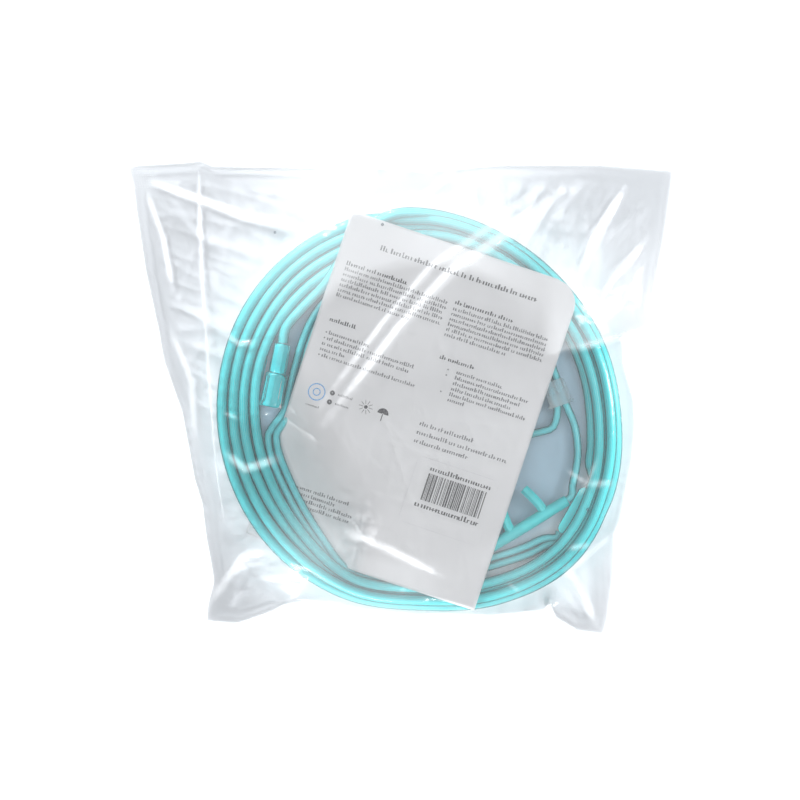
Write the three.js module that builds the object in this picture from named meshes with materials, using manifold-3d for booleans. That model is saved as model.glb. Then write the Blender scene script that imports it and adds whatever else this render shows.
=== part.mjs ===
// A nasal oxygen cannula, coiled and sealed in a clear pouch with its leaflet.
// Millimetres, +Z up. The pouch lies flat on z = 0, with its centre on the z axis.

import * as THREE from "three";
import { mergeVertices } from "three/addons/utils/BufferGeometryUtils.js";
import Module from "manifold-3d";

const wasm = await Module();
wasm.setup();

// Clearance between pieces that touch on the real object
const gap = 0.3;

// Pouch: the welded outline round the coil, each point as [angle, reach past the coil]
const pouchOutline = [
  [139.9, 81.8], [135.4, 70.7], [131.7, 61.0], [129.8, 55.0], [116.3, 33.7], [101.2, 22.7],
  [88.3, 19.1], [76.4, 24.5], [61.2, 37.0], [43.9, 66.0], [38.9, 50.2], [32.5, 35.4],
  [20.8, 18.4], [20.3, 7.3], [11.4, 3.3], [3.5, 5.2], [-7.2, 7.9], [-16.4, 8.9],
  [-28.0, 12.2], [-37.0, 19.4], [-44.5, 29.2], [-50.7, 39.6], [-54.2, 30.0], [-57.4, 20.6],
  [-57.9, 16.2], [-64.5, 11.1], [-72.2, 7.3], [-85.3, 2.6], [-93.6, 2.5], [-104.5, 3.5],
  [-113.0, 5.3], [-120.6, 9.7], [-125.5, 17.3], [-128.7, 26.4], [-131.9, 37.6], [-135.9, 45.1],
  [-139.4, 36.2], [-144.6, 23.5], [-149.8, 18.7], [-160.7, 14.5], [-173.3, 15.1], [179.8, 18.8],
  [170.4, 25.6], [162.5, 34.8], [156.0, 44.5], [151.2, 54.6], [145.4, 66.3],
];
const film = 0.4;
const seam = 2 * film;
const floorZ = film + gap;
const vents = [[129.3, 15.0], [102.1, -3.1], [-30.4, -3.9]];
const ventRadius = 1.0;
const weldWidth = 5;

// Tubing
const supplyTube = 4.8;
const earTube = 3.5;

// Coil: three strands across and two high, about the coil's own centre
const coilCentre = [9.4, -6.4];
const coilColumns = 3;
const coilRows = 2;
const coilOuter = 86.8;
const coilInner = coilOuter - coilColumns * supplyTube;
const coilTop = floorZ + coilRows * supplyTube;

// Leaflet: an A6 sheet with one rounded corner, turned with the coil's slant
const leafletSize = [105, 148];
const leafletThickness = 0.3;
const leafletCorner = 11;
const leafletShift = [-4.2, 1.0];
const leafletTurn = -18.4;
const leafletZ = coilTop + gap;

// End connector: a flared socket and its grip, lying inside the coil
const connectorInset = 6.7;
const connectorAngle = 165.6;
const connectorHeading = 79.2;
const connectorLength = 28.1;
const connectorMouthRadius = 5.15;
const connectorStepRadius = 4.6;
const connectorGripRadius = 3.6;
const connectorSocketLength = 14.6;
const connectorBore = 3.6;
const connectorBoreDepth = 17;
const connectorZ = floorZ + connectorMouthRadius;

// Flat tab that lies under the strands on the left
const tabAngle = 165.5;
const tabLength = 16.2;
const tabWidth = 13;
const tabThickness = 1.2;

// Tube joiner, under the strands on the right
const joinerInset = 7.0;
const joinerAngle = -32.8;
const joinerHeading = 60;
const joinerLength = 22.6;
const joinerWidth = 7.4;
const joinerHeight = 4.6;

// Nasal piece: a bar with two prongs, lying on its side
const noseInset = 5.6;
const noseAt = -46.2;
const noseAngle = 31.7;
const noseBarLength = 39;
const noseBarRadius = 2.65;
const noseZ = 7.2;
const prongSpacing = 16.5;
const prongRadius = 2.2;
const prongLength = 11.5;
const prongBend = 2.2;
const prongBore = 1.3;

// Tube adjuster: a clear two-hole slide on the twin ear tubes
const slideInset = 13.2;
const slideAt = 8.4;
const slideAngle = -70.2;
const slideLength = 11.4;
const slideWidth = 9.8;
const slideHeight = 5.4;
const slideFlange = [11.6, 6.4, 1.3];
const slideBore = earTube / 2 + gap;
const slideZ = floorZ + slideFlange[1] / 2;
const twinSpacing = earTube + 0.6;

// Colours of the photo
const materials = {
  film: surface(0xe9eef2, 0.2),
  paper: surface(0xececee, 0.75),
  tube: surface(0x8fd8e0, 0.2),
  earTube: surface(0xa6dfe5, 0.2),
  fitting: surface(0x03bfc8, 0.35),
  joiner: surface(0x41cbd7, 0.3),
  nose: surface(0x8fd3de, 0.3),
  clear: surface(0xc4dbe2, 0.15),
};

function surface(color, roughness) {
  return new THREE.MeshStandardMaterial({ color, roughness, metalness: 0 });
}

// Solids and booleans

function solidOf(geometry) {
  const bare = geometry.clone();
  bare.deleteAttribute("normal");
  bare.deleteAttribute("uv");
  const merged = mergeVertices(bare, 1e-3);
  return new wasm.Manifold(new wasm.Mesh({
    numProp: 3,
    vertProperties: new Float32Array(merged.attributes.position.array),
    triVerts: new Uint32Array(merged.index.array),
  }));
}

function geometryOf(solid) {
  const mesh = solid.getMesh();
  const geometry = new THREE.BufferGeometry();
  geometry.setAttribute("position", new THREE.BufferAttribute(mesh.vertProperties, 3));
  geometry.setIndex(new THREE.BufferAttribute(mesh.triVerts, 1));
  geometry.computeVertexNormals();
  return geometry;
}

function node(name, solid, material) {
  const mesh = new THREE.Mesh(geometryOf(solid), material);
  mesh.name = name;
  return mesh;
}

function radians(degrees) {
  return THREE.MathUtils.degToRad(degrees);
}

function onCoil(radius, angle) {
  return [
    coilCentre[0] + radius * Math.cos(radians(angle)),
    coilCentre[1] + radius * Math.sin(radians(angle)),
  ];
}

// A point some way along a line that starts at a centre
function beyond([x, y], angle, distance) {
  return [x + distance * Math.cos(radians(angle)), y + distance * Math.sin(radians(angle))];
}

// A turned solid whose axis runs from one point to another; its profile is [radius, height]
function turned(profile, from, to, sides) {
  const axis = new THREE.Vector3().subVectors(to, from).normalize();
  const turn = new THREE.Quaternion().setFromUnitVectors(new THREE.Vector3(0, 1, 0), axis);
  const geometry = new THREE.LatheGeometry(
    profile.map(([r, h]) => new THREE.Vector2(r, h)), sides);
  geometry.applyQuaternion(turn);
  geometry.translate(from.x, from.y, from.z);
  return solidOf(geometry);
}

function rod(from, to, radius, sides) {
  const length = from.distanceTo(to);
  return turned([[0, 0], [radius, 0], [radius, length], [0, length]], from, to, sides);
}

// A block with rounded vertical edges; its long side lies along the angle
function block(centre, angle, length, width, low, high, corner) {
  const x = length / 2;
  const y = width / 2;
  const r = Math.min(corner, x - 0.01, y - 0.01);
  const shape = new THREE.Shape();
  shape.moveTo(-x + r, -y);
  shape.lineTo(x - r, -y);
  shape.absarc(x - r, -y + r, r, -Math.PI / 2, 0);
  shape.lineTo(x, y - r);
  shape.absarc(x - r, y - r, r, 0, Math.PI / 2);
  shape.lineTo(-x + r, y);
  shape.absarc(-x + r, y - r, r, Math.PI / 2, Math.PI);
  shape.lineTo(-x, -y + r);
  shape.absarc(-x + r, -y + r, r, Math.PI, 1.5 * Math.PI);
  const geometry = new THREE.ExtrudeGeometry(shape, {
    depth: high - low,
    bevelEnabled: false,
    curveSegments: 5,
  });
  geometry.rotateZ(radians(angle));
  geometry.translate(centre[0], centre[1], low);
  return solidOf(geometry);
}

// A round cord along a list of points
function cord(points, radius, steps) {
  const shape = new THREE.Shape();
  const sides = 8;
  for (let i = 0; i < sides; i++) {
    const a = 2 * Math.PI * (i + 0.5) / sides;
    const x = radius * Math.cos(a);
    const y = radius * Math.sin(a);
    if (i === 0) {
      shape.moveTo(x, y);
    } else {
      shape.lineTo(x, y);
    }
  }
  const path = new THREE.CatmullRomCurve3(
    points.map(([x, y, z]) => new THREE.Vector3(x, y, z)), false, "centripetal");
  return solidOf(new THREE.ExtrudeGeometry(shape, {
    steps,
    extrudePath: path,
    bevelEnabled: false,
  }));
}

// Pouch

function outlineRadius(angle) {
  const direction = [Math.cos(angle), Math.sin(angle)];
  const corners = pouchOutline.map(([turn, reach]) => onCoil(coilOuter + reach, turn));
  let found = 0;
  corners.forEach((a, i) => {
    const b = corners[(i + 1) % corners.length];
    const ax = a[0] - coilCentre[0];
    const ay = a[1] - coilCentre[1];
    const ex = b[0] - a[0];
    const ey = b[1] - a[1];
    const cross = direction[0] * ey - direction[1] * ex;
    const t = (ax * ey - ay * ex) / cross;
    const s = (ax * direction[1] - ay * direction[0]) / cross;
    if (t > 0 && s >= -1e-9 && s <= 1 + 1e-9) {
      found = Math.max(found, t);
    }
  });
  return found;
}

const leafletCentre = [coilCentre[0] + leafletShift[0], coilCentre[1] + leafletShift[1]];

// How far out the film lies on the contents before it slopes down to the weld
function crownRadius(angle, edge) {
  const leafletReach = leafletCorners()
    .map(([x, y]) => {
      const dx = x - coilCentre[0];
      const dy = y - coilCentre[1];
      const turn = Math.abs(Math.atan2(
        dy * Math.cos(angle) - dx * Math.sin(angle),
        dx * Math.cos(angle) + dy * Math.sin(angle)));
      return Math.hypot(dx, dy) + 1.6 - 26 * turn;
    });
  return Math.min(Math.max(coilOuter + 1.1, ...leafletReach), edge - 0.9);
}

function leafletCorners() {
  const [w, h] = leafletSize;
  const a = radians(leafletTurn);
  return [[-w / 2, h / 2], [w / 2, h / 2], [w / 2, -h / 2], [-w / 2, -h / 2]].map(([x, y]) => [
    leafletCentre[0] + x * Math.cos(a) - y * Math.sin(a),
    leafletCentre[1] + x * Math.sin(a) + y * Math.cos(a),
  ]);
}

// A closed body with a flat underside and a top that slopes from the crown to the edge
function pillow(bottom, crown, rim, inset, angles) {
  const slope = [0, 0.12, 0.3, 0.5, 0.7, 0.88, 1];
  const rings = [0.5];
  const vertices = [];
  const faces = [];
  vertices.push(coilCentre[0], coilCentre[1], crown);
  angles.forEach((angle) => {
    const outer = outlineRadius(angle);
    const edge = outer - inset.edge(outer);
    const top = crownRadius(angle, outer) - inset.crown;
    const run = Math.min(edge - top, 34);
    const stations = rings.map((part) => [top * part, crown]);
    slope.forEach((part) => {
      const ease = (1 + Math.cos(Math.PI * part)) / 2;
      stations.push([top + run * part * 0.999, rim + (crown - rim) * ease]);
    });
    stations.push([edge, rim]);
    stations.push([edge, bottom]);
    stations.forEach(([r, z]) => {
      vertices.push(
        coilCentre[0] + r * Math.cos(angle), coilCentre[1] + r * Math.sin(angle), z);
    });
  });
  vertices.push(coilCentre[0], coilCentre[1], bottom);
  const count = rings.length + slope.length + 2;
  const last = vertices.length / 3 - 1;
  const spokes = angles.length;
  for (let i = 0; i < spokes; i++) {
    const a = 1 + i * count;
    const b = 1 + ((i + 1) % spokes) * count;
    faces.push(0, a, b);
    for (let j = 0; j < count - 1; j++) {
      faces.push(a + j, a + j + 1, b + j + 1, a + j, b + j + 1, b + j);
    }
    faces.push(last, b + count - 1, a + count - 1);
  }
  const geometry = new THREE.BufferGeometry();
  geometry.setAttribute("position", new THREE.Float32BufferAttribute(vertices, 3));
  geometry.setIndex(faces);
  return solidOf(geometry);
}

function pouch() {
  const crown = leafletZ + leafletThickness + gap + film;
  const corners = pouchOutline.map(([turn]) => radians(turn));
  const even = [];
  for (let i = 0; i < 48; i++) {
    const angle = -Math.PI + 2 * Math.PI * (i + 0.5) / 48;
    if (corners.every((c) => Math.abs(c - angle) > 0.045)) {
      even.push(angle);
    }
  }
  const angles = [...corners, ...even].sort((a, b) => a - b);
  const outer = pillow(0, crown, seam, { crown: 0, edge: () => 0 }, angles);
  const inner = pillow(film, crown - film, film + 0.1, {
    crown: film,
    edge: (edge) => (edge > coilOuter + 2 * weldWidth ? weldWidth : film + gap),
  }, angles);
  const holes = vents.map(([turn, reach]) => {
    const [x, y] = onCoil(coilOuter + reach, turn);
    return rod(
      new THREE.Vector3(x, y, seam), new THREE.Vector3(x, y, crown + 2), ventRadius, 12);
  });
  return holes.reduce((solid, hole) => solid.subtract(hole), outer.subtract(inner));
}

// Leaflet

function leaflet() {
  const [w, h] = leafletSize;
  const shape = new THREE.Shape();
  shape.moveTo(-w / 2, -h / 2);
  shape.lineTo(w / 2, -h / 2);
  shape.lineTo(w / 2, h / 2 - leafletCorner);
  shape.absarc(w / 2 - leafletCorner, h / 2 - leafletCorner, leafletCorner, 0, Math.PI / 2);
  shape.lineTo(-w / 2, h / 2);
  const geometry = new THREE.ExtrudeGeometry(shape, {
    depth: leafletThickness,
    bevelEnabled: false,
    curveSegments: 10,
  });
  geometry.rotateZ(radians(leafletTurn));
  geometry.translate(leafletCentre[0], leafletCentre[1], leafletZ);
  return solidOf(geometry);
}

// Coil: one ring whose ends and sides show its turns

function coilRing() {
  const profile = [];
  const arc = (x, y, from, to) => {
    for (let i = 0; i < 3; i++) {
      const a = radians(from + (to - from) * i / 3);
      profile.push([
        x + supplyTube / 2 * Math.cos(a), y + supplyTube / 2 * Math.sin(a)]);
    }
  };
  const half = supplyTube / 2;
  const across = (i) => coilInner + supplyTube * (i + 0.5);
  const up = (j) => floorZ + supplyTube * (j + 0.5);
  const lean = 62;
  for (let i = 0; i < coilColumns; i++) {
    arc(across(i), floorZ + half, -90 - lean, -90 + lean);
  }
  for (let j = 0; j < coilRows; j++) {
    arc(coilOuter - half, up(j), -lean, lean);
  }
  for (let i = coilColumns - 1; i >= 0; i--) {
    arc(across(i), coilTop - half, 90 - lean, 90 + lean);
  }
  for (let j = coilRows - 1; j >= 0; j--) {
    arc(coilInner + half, up(j), 180 - lean, 180 + lean);
  }
  profile.push(profile[0]);
  const from = new THREE.Vector3(coilCentre[0], coilCentre[1], 0);
  const to = new THREE.Vector3(coilCentre[0], coilCentre[1], 1);
  return turned(profile, from, to, 72);
}

// End connector with its socket

const connectorCentre = onCoil(coilInner - connectorInset, connectorAngle);

function endConnector() {
  const length = connectorLength;
  const from = new THREE.Vector3(
    ...beyond(connectorCentre, connectorHeading, -length / 2), connectorZ);
  const to = new THREE.Vector3(
    ...beyond(connectorCentre, connectorHeading, length / 2), connectorZ);
  const body = [
    [0, 0], [connectorMouthRadius - 0.4, 0], [connectorMouthRadius, 0.4],
    [connectorStepRadius, connectorSocketLength - 0.4],
    [connectorStepRadius - 0.4, connectorSocketLength],
    [connectorGripRadius - 0.25, connectorSocketLength + 0.3],
    [connectorGripRadius, length - 0.4], [connectorGripRadius - 0.4, length], [0, length],
  ];
  const start = from.clone().lerp(to, -2 / length);
  const bore = [
    [0, 0], [connectorBore + 0.1, 0], [connectorBore, 2],
    [connectorBore - 0.45, 2 + connectorBoreDepth], [0, 2 + connectorBoreDepth],
  ];
  return turned(body, from, to, 28).subtract(turned(bore, start, to, 20));
}

function supplyEnd() {
  const along = (distance) => [
    ...beyond(connectorCentre, connectorHeading, connectorLength / 2 + distance), connectorZ];
  const side = coilInner - supplyTube / 2 - gap;
  return cord([
    along(gap), along(6), [...onCoil(side, 141), connectorZ - 0.6],
    [...onCoil(side, 132), connectorZ - 1.6],
  ], supplyTube / 2, 14);
}

// Flat tab and tube joiner, both under the strands

function tab(grow) {
  return block(
    onCoil((coilInner + coilOuter) / 2, tabAngle), tabAngle, tabLength + 2 * grow,
    tabWidth + 2 * grow, grow ? 0 : floorZ, floorZ + tabThickness + grow, 1.5);
}

function joiner(grow) {
  return block(
    onCoil(coilOuter - joinerInset, joinerAngle), joinerHeading, joinerLength + 2 * grow,
    joinerWidth + 2 * grow, grow ? 0 : floorZ, floorZ + joinerHeight + grow, 2.6);
}

// Nasal piece

const noseCentre = onCoil(coilInner - noseInset, noseAt);
const noseAxis = [Math.cos(radians(noseAngle)), Math.sin(radians(noseAngle))];

function nosePoint(along, across, z) {
  return new THREE.Vector3(
    noseCentre[0] + noseAxis[0] * along - noseAxis[1] * across,
    noseCentre[1] + noseAxis[1] * along + noseAxis[0] * across, z);
}

function nasalPiece() {
  const half = noseBarLength / 2;
  const r = noseBarRadius;
  let piece = turned([
    [0, 0], [r - 0.5, 0], [r - 0.15, 0.4], [r - 0.1, 8], [r, 10],
    [r, noseBarLength - 10], [r - 0.1, noseBarLength - 8], [r - 0.15, noseBarLength - 0.4],
    [r - 0.5, noseBarLength], [0, noseBarLength],
  ], nosePoint(-half, 0, noseZ), nosePoint(half, 0, noseZ), 20);
  [-1, 1].forEach((side) => {
    const at = side * prongSpacing / 2;
    const lean = side < 0 ? prongBend : -prongBend;
    const points = [[0, 0.4], [0, 4], [0.25, 7.5], [1, prongLength + r]].map(([part, out]) => {
      const p = nosePoint(at + lean * part, out, noseZ);
      return [p.x, p.y, p.z];
    });
    piece = piece.add(cord(points, prongRadius, 8));
    const tip = nosePoint(at + lean, prongLength + r, noseZ);
    const root = nosePoint(at + lean * 0.5, prongLength + r - 4, noseZ);
    const out = root.clone().lerp(tip, 1.4);
    piece = piece.subtract(rod(root, out, prongBore, 10));
  });
  return piece;
}

// The space that the nasal piece takes out of the coil it lies on
function nosePocket() {
  const clear = noseBarRadius + gap + 0.1;
  return block(
    [noseCentre[0], noseCentre[1]], noseAngle, noseBarLength + 2 * clear - 2,
    2 * clear, noseZ - clear, coilTop + 2, clear);
}

// Twin ear tubes through the adjuster; the inner one turns back to the nasal piece's far end

const slideCentre = onCoil(coilInner - slideInset, slideAt);
const slideAxis = [Math.cos(radians(slideAngle)), Math.sin(radians(slideAngle))];

function slidePoint(along, across) {
  return [
    slideCentre[0] + slideAxis[0] * along - slideAxis[1] * across,
    slideCentre[1] + slideAxis[1] * along + slideAxis[0] * across, slideZ];
}

function twinTube(side) {
  const off = side * twinSpacing / 2;
  const inside = coilInner - (twinSpacing + earTube) / 2 - 2 * gap;
  const at = (radius, angle) => [...onCoil(radius + off, angle), slideZ];
  const through = [
    at(inside, 78), at(inside - 1.6, 64), at(inside - 4.6, 50), at(inside - 7.7, 35),
    slidePoint(-14, off), slidePoint(0, off), slidePoint(12, off),
  ];
  if (side > 0) {
    return cord([
      ...through, at(inside - 1.7, -13.5), at(inside - 0.1, -19),
    ], earTube / 2, 50);
  }
  const low = floorZ + earTube / 2;
  const end = nosePoint(-noseBarLength / 2 - gap, 0, noseZ);
  const back = [
    [9.0, -12, 3.5], [13.0, -22, low], [21.0, -30, low], [26.3, -43, low], [30.8, -61, low],
    [27.2, -83, low], [18.4, -97, low], [11.6, -94, low], [8.0, -85, low + 1],
    [6.4, -75, noseZ - 2],
  ].map(([inset, angle, z]) => [...onCoil(coilInner - inset, angle), z]);
  const before = nosePoint(-noseBarLength / 2 - 6, 0, noseZ);
  return cord([
    ...through, ...back, [before.x, before.y, before.z], [end.x, end.y, end.z],
  ], earTube / 2, 80);
}

function tubeAdjuster() {
  const body = block(
    slideCentre, slideAngle, slideLength, slideWidth,
    slideZ - slideHeight / 2, slideZ + slideHeight / 2, 1.6);
  const [flangeWidth, flangeHeight, flangeLength] = slideFlange;
  const end = slidePoint(slideLength / 2 - flangeLength / 2, 0);
  const flange = block(
    [end[0], end[1]], slideAngle, flangeLength, flangeWidth,
    slideZ - flangeHeight / 2, slideZ + flangeHeight / 2, 0.4);
  return [-1, 1].reduce((solid, side) => {
    const off = side * twinSpacing / 2;
    const a = new THREE.Vector3(...slidePoint(-slideLength, off));
    const b = new THREE.Vector3(...slidePoint(slideLength, off));
    return solid.subtract(rod(a, b, slideBore, 16));
  }, body.add(flange));
}

// The whole set

const cannulaSet = new THREE.Group();
cannulaSet.name = "nasal_cannula_in_pouch";
const ring = coilRing()
  .subtract(tab(gap))
  .subtract(joiner(gap))
  .subtract(nosePocket());
cannulaSet.add(
  node("pouch", pouch(), materials.film),
  node("leaflet", leaflet(), materials.paper),
  node("tube_coil", ring, materials.tube),
  node("supply_tube_end", supplyEnd(), materials.tube),
  node("end_connector", endConnector(), materials.fitting),
  node("flat_tab", tab(0), materials.fitting),
  node("tube_joiner", joiner(0), materials.joiner),
  node("ear_tube_inner", twinTube(-1), materials.earTube),
  node("ear_tube_outer", twinTube(1), materials.earTube),
  node("tube_adjuster", tubeAdjuster(), materials.clear),
  node("nasal_piece", nasalPiece(), materials.nose),
);

export default cannulaSet;
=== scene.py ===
import bpy
import math
import random
import numpy as np
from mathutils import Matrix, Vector


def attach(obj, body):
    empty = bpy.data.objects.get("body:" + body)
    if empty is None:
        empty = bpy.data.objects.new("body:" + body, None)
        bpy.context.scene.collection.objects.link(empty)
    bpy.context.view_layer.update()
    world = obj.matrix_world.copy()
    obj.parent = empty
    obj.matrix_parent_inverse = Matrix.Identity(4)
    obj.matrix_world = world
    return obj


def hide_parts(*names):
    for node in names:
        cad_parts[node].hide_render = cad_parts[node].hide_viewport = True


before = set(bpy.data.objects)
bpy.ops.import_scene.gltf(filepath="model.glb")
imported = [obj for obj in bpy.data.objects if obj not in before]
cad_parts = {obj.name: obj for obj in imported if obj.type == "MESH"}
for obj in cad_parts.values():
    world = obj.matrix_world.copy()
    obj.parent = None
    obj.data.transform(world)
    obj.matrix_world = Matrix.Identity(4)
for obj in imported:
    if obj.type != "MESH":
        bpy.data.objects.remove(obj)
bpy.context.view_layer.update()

mm = 0.001
mainBody = "packed_set"


# Camera, lights and the table

stageLook = {
    "photoWidth": 347.8,        # mm of table across the picture
    "lens": 105.0,
    "centre": (-0.5, -0.8),
    "worldStrength": 1.30,
    "worldInGloss": 0.75,       # the studio is dim where shiny things mirror it
    "table": (0.93, 0.93, 0.93),
    "keyPower": 9.5,
    "sidePower": 5.2,
}


def makeCamera(look):
    data = bpy.data.cameras.new("photoCamera")
    data.lens = look["lens"]
    data.sensor_width = 36.0
    data.clip_start = 0.01
    camera = bpy.data.objects.new("photoCamera", data)
    distance = look["photoWidth"] * mm * look["lens"] / 36.0
    camera.location = (look["centre"][0] * mm, look["centre"][1] * mm, distance + 0.008)
    bpy.context.collection.objects.link(camera)
    bpy.context.scene.camera = camera


def areaLight(name, place, aim, size, power):
    data = bpy.data.lights.new(name, "AREA")
    data.shape = "RECTANGLE"
    data.size, data.size_y = size
    data.energy = power
    light = bpy.data.objects.new(name, data)
    light.location = place
    light.rotation_euler = (Vector(aim) - Vector(place)).to_track_quat("-Z", "Y").to_euler()
    bpy.context.collection.objects.link(light)


def makeStage(look):
    makeCamera(look)
    world = bpy.data.worlds.new("studio")
    world.use_nodes = True
    tree = world.node_tree
    sky = tree.nodes["Background"]
    sky.inputs["Color"].default_value = (1, 1, 1, 1)
    inGloss = addNode(tree, "ShaderNodeLightPath").outputs["Is Glossy Ray"]
    strength = combine(tree, "MULTIPLY_ADD", inGloss, look["worldInGloss"] - look["worldStrength"],
                       look["worldStrength"])
    tree.links.new(strength, sky.inputs["Strength"])
    bpy.context.scene.world = world
    areaLight("keyLight", (-0.42, 0.62, 0.60), (0, 0, 0), (0.55, 0.16), look["keyPower"])
    areaLight("sideLight", (0.70, 0.10, 0.52), (0, 0, 0), (0.14, 0.55), look["sidePower"])
    areaLight("lowLight", (-0.30, -0.66, 0.50), (0, 0, 0), (0.55, 0.12), look["sidePower"])
    bpy.ops.mesh.primitive_plane_add(size=6.0, location=(0, 0, -0.0002))
    table = bpy.context.object
    table.name = "table"
    table.data.materials.append(plainPaint("tablePaint", look["table"], 0.9))
    scene = bpy.context.scene
    scene.view_settings.view_transform = "Standard"
    scene.view_settings.look = "None"
    scene.cycles.use_denoising = True
    scene.cycles.transparent_max_bounces = 48
    scene.cycles.max_bounces = 10


# Materials

# A node with its inputs fed by plain values or by other nodes' outputs
def addNode(tree, kind, feeds=None, **settings):
    node = tree.nodes.new(kind)
    for key, value in settings.items():
        setattr(node, key, value)
    for name, feed in (feeds or {}).items():
        if isinstance(feed, bpy.types.NodeSocket):
            tree.links.new(feed, node.inputs[name])
        else:
            node.inputs[name].default_value = feed
    return node


def combine(tree, operation, *feeds):
    return addNode(tree, "ShaderNodeMath", dict(enumerate(feeds)), operation=operation).outputs[0]


def startMaterial(name):
    material = bpy.data.materials.new(name)
    material.use_nodes = True
    material.node_tree.nodes.clear()
    return material, material.node_tree


def show(tree, shader):
    addNode(tree, "ShaderNodeOutputMaterial", {"Surface": shader.outputs[0]})


def noise(tree, scale, detail):
    place = addNode(tree, "ShaderNodeTexCoord").outputs["Object"]
    feeds = {"Vector": place, "Scale": scale, "Detail": detail}
    return addNode(tree, "ShaderNodeTexNoise", feeds).outputs["Fac"]


def attribute(tree, name):
    return addNode(tree, "ShaderNodeAttribute", attribute_name=name).outputs["Fac"]


def ramp(tree, value, stops):
    node = addNode(tree, "ShaderNodeValToRGB", {"Fac": value})
    elements = node.color_ramp.elements
    while len(elements) > 1:
        elements.remove(elements[0])
    elements[0].position = stops[0][0]
    elements[0].color = (*stops[0][1], 1)
    for place, color in stops[1:]:
        elements.new(place).color = (*color, 1)
    return node.outputs["Color"]


def grey(value):
    return (value, value, value)


def roughNormal(tree, height, strength, distance):
    feeds = {"Height": height, "Strength": strength, "Distance": distance}
    return addNode(tree, "ShaderNodeBump", feeds).outputs["Normal"]


def clearShader(tree, color):
    return addNode(tree, "ShaderNodeBsdfTransparent", {"Color": color})


def blend(tree, share, first, second):
    return addNode(tree, "ShaderNodeMixShader", {0: share, 1: first.outputs[0], 2: second.outputs[0]})


# A shiny coat over the body, strongest where it is seen at a slant
def coat(tree, body, gloss, ior):
    edge = addNode(tree, "ShaderNodeFresnel", {"IOR": ior}).outputs[0]
    show(tree, blend(tree, edge, body, gloss))


def plainPaint(name, color, roughness):
    material, tree = startMaterial(name)
    show(tree, addNode(tree, "ShaderNodeBsdfPrincipled", {"Base Color": (*color, 1), "Roughness": roughness}))
    return material


# Clear film: see-through, a little cloudy, and glossy where it tilts. By a mask attribute it takes its second
# tint: a greyer margin on the upper sheet, painted shade in the coil's hole on the lower sheet. A second
# attribute makes it cloudier along its creases and over the folded flap, and adds painted highlight as milky
# patches on the band.
def filmMaterial(name, haze, tint, roughness, maskedTintAndShade=None, withHazeAndSheen=False):
    material, tree = startMaterial(name)
    color = ramp(tree, attribute(tree, "marginTintAndHoleShade"), [(0.0, tint), (1.0, maskedTintAndShade)]) if maskedTintAndShade else (*tint, 1)
    cloud = addNode(tree, "ShaderNodeBsdfDiffuse", {"Color": (0.93, 0.96, 0.99, 1)})
    ripples = roughNormal(tree, noise(tree, 260.0, 3.0), 0.10, 0.0006)
    gloss = addNode(tree, "ShaderNodeBsdfGlossy", {"Roughness": roughness, "Normal": ripples})
    share = ramp(tree, noise(tree, 22.0, 4.0), [(0.30, grey(haze * 0.75)), (0.70, grey(haze * 1.3))])
    if withHazeAndSheen:
        share = combine(tree, "ADD", share, attribute(tree, "hazeAndSheen"))
    coat(tree, blend(tree, share, clearShader(tree, color), cloud), gloss, 1.42)
    return material


# Soft vinyl: a clear skin over the tinted body
def fittingMaterial(name, color, share, roughness=0.3):
    material, tree = startMaterial(name)
    lighter = tuple(min(1.0, c * 1.25 + 0.03) for c in color)
    darker = tuple(c * 0.82 for c in color)
    solid = addNode(tree, "ShaderNodeBsdfPrincipled", {
        "Base Color": ramp(tree, noise(tree, 60.0, 3.0), [(0.35, darker), (0.65, lighter)]),
        "Roughness": roughness,
        "Normal": roughNormal(tree, noise(tree, 900.0, 2.0), 0.06, 0.0003)})
    clear = clearShader(tree, (*(min(1.0, c * 0.8 + 0.2) for c in color), 1))
    gloss = addNode(tree, "ShaderNodeBsdfGlossy", {"Roughness": 0.12})
    coat(tree, blend(tree, share, clear, solid), gloss, 1.36)
    return material


def paperMaterial(name):
    material, tree = startMaterial(name)
    show(tree, addNode(tree, "ShaderNodeBsdfPrincipled", {
        "Base Color": ramp(tree, noise(tree, 35.0, 5.0), [
            (0.3, (0.665, 0.67, 0.68)), (0.7, (0.705, 0.71, 0.72))]),
        "Roughness": 0.62,
        "Normal": roughNormal(tree, noise(tree, 1800.0, 3.0), 0.12, 0.0001)}))
    return material


def inkMaterial(name, color):
    material, tree = startMaterial(name)
    faded = tuple(min(1.0, c * 1.3 + 0.09) for c in color)
    tone = ramp(tree, noise(tree, 1500.0, 2.0), [(0.42, color), (0.72, faded)])
    show(tree, addNode(tree, "ShaderNodeBsdfPrincipled", {"Base Color": tone, "Roughness": 0.55}))
    return material


# Shapes

def addMesh(name, vertices, faces, material, smooth=True):
    mesh = bpy.data.meshes.new(name)
    mesh.from_pydata([tuple(v) for v in vertices], [], [tuple(f) for f in faces])
    if smooth:
        mesh.shade_smooth()
    mesh.materials.append(material)
    piece = bpy.data.objects.new(name, mesh)
    bpy.context.collection.objects.link(piece)
    return piece


# Faces of a net with its rows one after the other, turned up or down
def netFaces(nu, nv, down=False):
    faces = []
    for j in range(nv):
        for i in range(nu):
            a = j * (nu + 1) + i
            ring = (a, a + nu + 1, a + nu + 2, a + 1)
            faces.append(ring[:1] + ring[:0:-1] if down else ring)
    return faces


def netVertices(net, z):
    return [(float(p[0]) * mm, float(p[1]) * mm, float(h) * mm)
            for p, h in zip(net.reshape(-1, 2), z.reshape(-1))]


def pointValues(piece, name, values):
    layer = piece.data.attributes.new(name, "FLOAT", "POINT")
    layer.data.foreach_set("value", values.reshape(-1).astype(np.float32))


makeStage(stageLook)
print("stage ready")


# Coil: where its strands run. Angles are in degrees about the coil's centre, sizes in mm.

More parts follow.
